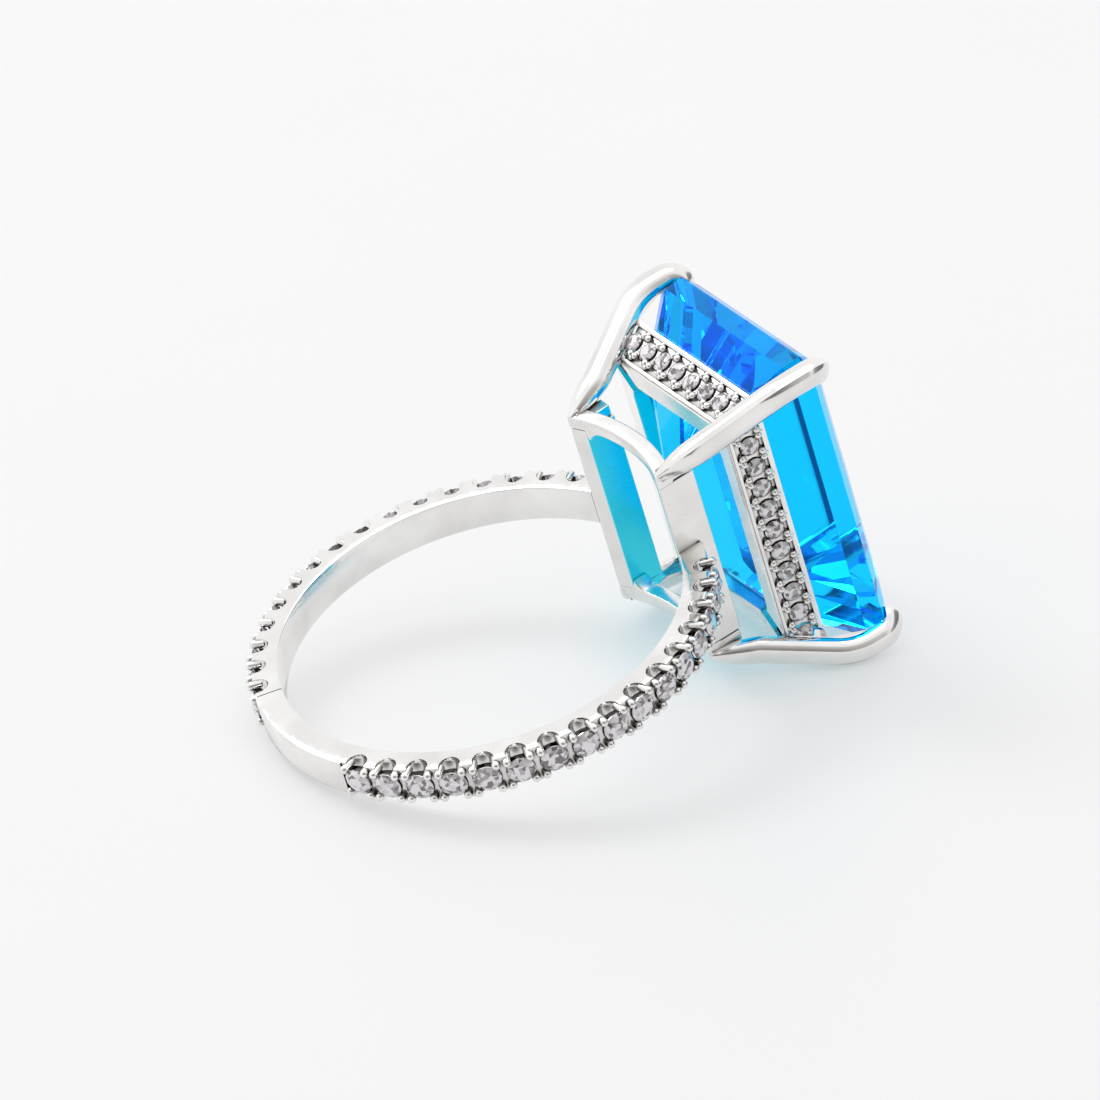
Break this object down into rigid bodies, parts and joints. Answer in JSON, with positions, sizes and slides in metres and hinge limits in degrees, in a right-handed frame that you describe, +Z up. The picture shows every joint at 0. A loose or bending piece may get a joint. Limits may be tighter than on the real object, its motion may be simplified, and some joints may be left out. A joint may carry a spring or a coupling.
{
  "type": "cocktail ring",
  "caption": "Cocktail ring with a large rectangular step-cut blue stone in a four-claw gallery setting and small round stones on the gallery and shank.",
  "frame": {"origin": "centre of the finger bore", "axes": "the ring as it lies on a flat surface, on the back edge of its shank and its two lower claws: +Z up, +X level from the bore towards the stone, Y across the ring; the bore's axis leans back from +Z by the resting tilt of 15 degrees"},
  "size_m": [0.027, 0.0202, 0.0148],
  "materials": {
    "polished_metal": "bright rhodium-like mirror polish over silver-coloured metal",
    "bright_cut_metal": "bright-cut and beaded silver-coloured metal between the small stones",
    "clear_stone": "clear faceted round stones",
    "blue_stone": "transparent bright azure faceted stone"
  },
  "bodies": {
    "root": {"shank": "polished_metal", "shank_stones_front": "clear_stone", "shank_stones_back": "clear_stone", "cheek_front": "polished_metal", "cheek_back": "polished_metal", "finger_arch_upper": "polished_metal", "finger_arch_lower": "polished_metal", "seat_rail_front": "polished_metal", "seat_rail_back": "polished_metal", "seat_rail_upper": "polished_metal", "seat_rail_lower": "polished_metal", "gallery_strip_front": "bright_cut_metal", "gallery_strip_back": "bright_cut_metal", "gallery_strip_upper": "bright_cut_metal", "gallery_strip_lower": "bright_cut_metal", "gallery_stones_front": "clear_stone", "gallery_stones_back": "clear_stone", "gallery_stones_upper": "clear_stone", "gallery_stones_lower": "clear_stone", "claw_upper_front": "polished_metal", "claw_upper_back": "polished_metal", "claw_lower_front": "polished_metal", "claw_lower_back": "polished_metal", "centre_stone": "blue_stone"}
  },
  "joints": []
}
